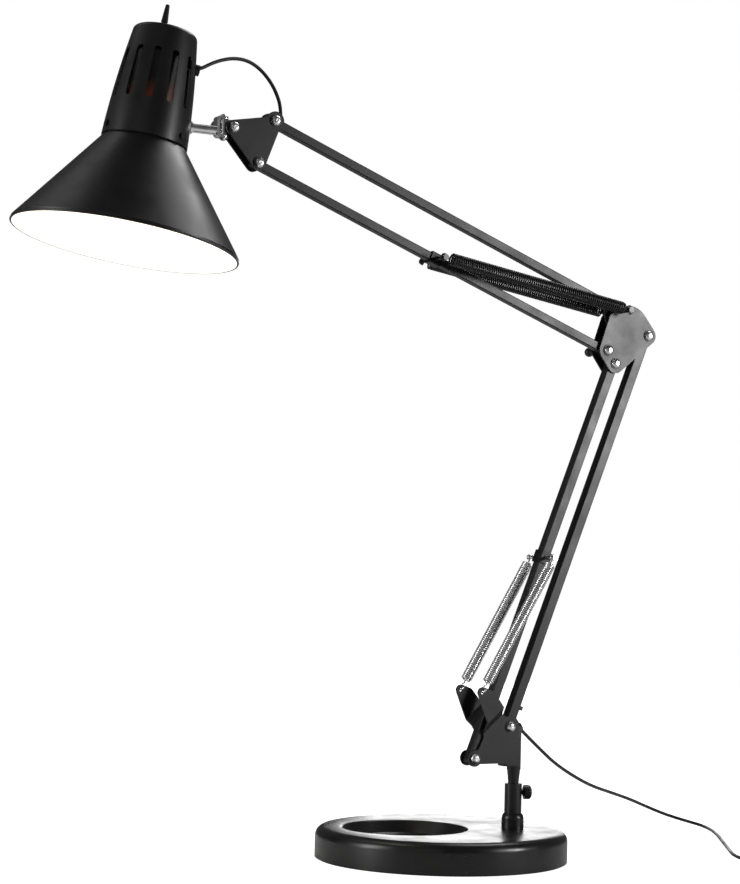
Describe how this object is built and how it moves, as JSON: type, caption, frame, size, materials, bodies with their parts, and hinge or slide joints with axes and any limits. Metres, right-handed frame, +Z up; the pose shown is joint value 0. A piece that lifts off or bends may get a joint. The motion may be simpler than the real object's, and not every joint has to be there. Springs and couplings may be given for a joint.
{
  "type": "swing-arm desk lamp",
  "caption": "Swing-arm desk lamp with a round weighted base, sprung parallelogram arms, a swivelling cone shade, a toggle switch and a free mains cord.",
  "frame": {"origin": "on the underside of the base, under the vertical swivel axis of the post", "axes": "+Z up, the arms swing in the XZ plane with the head towards -X and the elbow towards +X, +Y to the far side of the arms"},
  "size_m": [0.7137, 0.3876, 0.6446],
  "materials": {
    "base_gloss_black": "gloss",
    "cast_weight": "matte",
    "pad_rubber": "matte",
    "satin_black": "satin",
    "bar_black": "satin",
    "clip_black": "satin",
    "zinc": "satin",
    "nickel": "polished",
    "lower_spring_steel": "satin",
    "upper_spring_steel": "satin",
    "knob_plastic": "matte",
    "gland_rubber": "matte",
    "shade_black": "satin",
    "neck_black": "satin",
    "holder_plastic": "matte",
    "bulb_glass": "frosted",
    "cord_black": "matte",
    "plug_black": "matte",
    "plug_brass": "polished"
  },
  "bodies": {
    "base": {"base_cover": "base_gloss_black", "base_weight": "cast_weight", "base_pad": "pad_rubber", "post_socket": "satin_black", "socket_nut": "zinc", "mains_cord": "cord_black", "cord_coil": "cord_black", "plug_tail": "cord_black", "plug_body": "plug_black", "plug_pins": "plug_brass"},
    "thumb_screw": {"thumb_screw": "knob_plastic"},
    "turret": {"turret_foot": "satin_black", "bracket_plate_near": "satin_black", "bracket_plate_far": "satin_black", "bracket_bolts": "zinc", "bracket_nuts": "zinc", "bracket_washers": "zinc", "cord_gland": "gland_rubber"},
    "rear_arm": {"rear_lower_bar": "bar_black", "lower_cord_run": "cord_black"},
    "front_arm": {"front_lower_bar": "bar_black", "lower_spring_clip": "clip_black", "lower_spring_pin": "zinc", "lower_springs": "lower_spring_steel"},
    "elbow": {"elbow_plate_near": "satin_black", "elbow_plate_far": "satin_black", "elbow_bolts": "zinc", "elbow_nuts": "zinc", "elbow_washers": "zinc", "spring_anchor_bolt": "zinc", "elbow_cord_bridge": "cord_black"},
    "elbow_knob": {"elbow_knob": "knob_plastic"},
    "upper_top": {"upper_top_bar": "bar_black", "upper_cord_run": "cord_black"},
    "upper_bottom": {"upper_bottom_bar": "bar_black", "upper_spring_clip": "clip_black", "upper_spring_pin": "zinc", "upper_springs": "upper_spring_steel"},
    "head_bracket": {"head_plate_near": "satin_black", "head_plate_far": "satin_black", "head_bolts": "zinc", "head_nuts": "zinc", "head_washers": "zinc", "head_clamp_bolt": "zinc"},
    "head_wing": {"head_wing_nut": "knob_plastic"},
    "swivel_block": {"swivel_barrel": "nickel", "pan_pin": "zinc"},
    "shade": {"shade_rod": "nickel", "rod_nut": "zinc", "shade_cone": "shade_black", "neck_cover": "neck_black", "neck_screws": "zinc", "neck_grommet": "gland_rubber", "lampholder": "holder_plastic", "bulb_cap": "nickel", "bulb_glass": "bulb_glass", "switch_body": "nickel", "head_cord_loop": "cord_black"},
    "switch_lever": {"switch_lever": "nickel"}
  },
  "joints": [
    {"name": "base_swivel", "type": "hinge", "parent": "base", "child": "turret", "pos_m": [0, 0, 0.045], "axis": [0, 0, 1], "range_deg": [-100, 70], "deforming": ["mains_cord"]},
    {"name": "thumb_screw_turn", "type": "hinge", "parent": "base", "child": "thumb_screw", "pos_m": [0.00945, -0.00327, 0.053], "axis": [0.9449, -0.3272, 0], "range_deg": [-180, 180]},
    {"name": "lower_arm", "type": "hinge", "parent": "turret", "child": "rear_arm", "pos_m": [-0.0078, 0, 0.1055], "axis": [0, 1, 0], "range_deg": [-60, 12]},
    {"name": "lower_arm_front", "type": "hinge", "parent": "turret", "child": "front_arm", "pos_m": [-0.0402, 0, 0.0807], "axis": [0, 1, 0], "range_deg": [-60, 12], "deforming": ["lower_springs"]},
    {"name": "elbow_level", "type": "hinge", "parent": "rear_arm", "child": "elbow", "pos_m": [0.11911, 0, 0.42523], "axis": [0, 1, 0], "range_deg": [-12, 60], "deforming": ["elbow_cord_bridge"]},
    {"name": "upper_arm", "type": "hinge", "parent": "elbow", "child": "upper_top", "pos_m": [0.09241, 0, 0.44413], "axis": [0, 1, 0], "range_deg": [-45, 40]},
    {"name": "upper_arm_lower_bar", "type": "hinge", "parent": "elbow", "child": "upper_bottom", "pos_m": [0.07931, 0, 0.41093], "axis": [0, 1, 0], "range_deg": [-45, 40], "deforming": ["upper_springs"]},
    {"name": "head_level", "type": "hinge", "parent": "upper_top", "child": "head_bracket", "pos_m": [-0.22917, 0, 0.56629], "axis": [0, 1, 0], "range_deg": [-40, 45], "deforming": ["head_cord_loop"]},
    {"name": "head_tilt", "type": "hinge", "parent": "head_bracket", "child": "swivel_block", "pos_m": [-0.26387, 0, 0.55769], "axis": [0, 1, 0], "range_deg": [-45, 45]},
    {"name": "head_pan", "type": "hinge", "parent": "swivel_block", "child": "shade", "pos_m": [-0.26987, 0, 0.55769], "axis": [0, 0, 1], "range_deg": [-30, 30]},
    {"name": "switch_toggle", "type": "hinge", "parent": "shade", "child": "switch_lever", "pos_m": [-0.32121, 0, 0.62545], "axis": [0.9848, 0, -0.1736], "range_deg": [-12, 12]},
    {"name": "elbow_knob_turn", "type": "hinge", "parent": "elbow", "child": "elbow_knob", "pos_m": [0.07931, 0.018, 0.41093], "axis": [0, 1, 0], "range_deg": [-180, 180]},
    {"name": "head_wing_turn", "type": "hinge", "parent": "head_bracket", "child": "head_wing", "pos_m": [-0.26387, 0.01, 0.55769], "axis": [0, 1, 0], "range_deg": [-180, 180]}
  ],
  "couplings": [
    {"joint": "lower_arm_front", "follows": "lower_arm", "ratio": 1},
    {"joint": "elbow_level", "follows": "lower_arm", "ratio": -1},
    {"joint": "upper_arm_lower_bar", "follows": "upper_arm", "ratio": 1},
    {"joint": "head_level", "follows": "upper_arm", "ratio": -1}
  ]
}
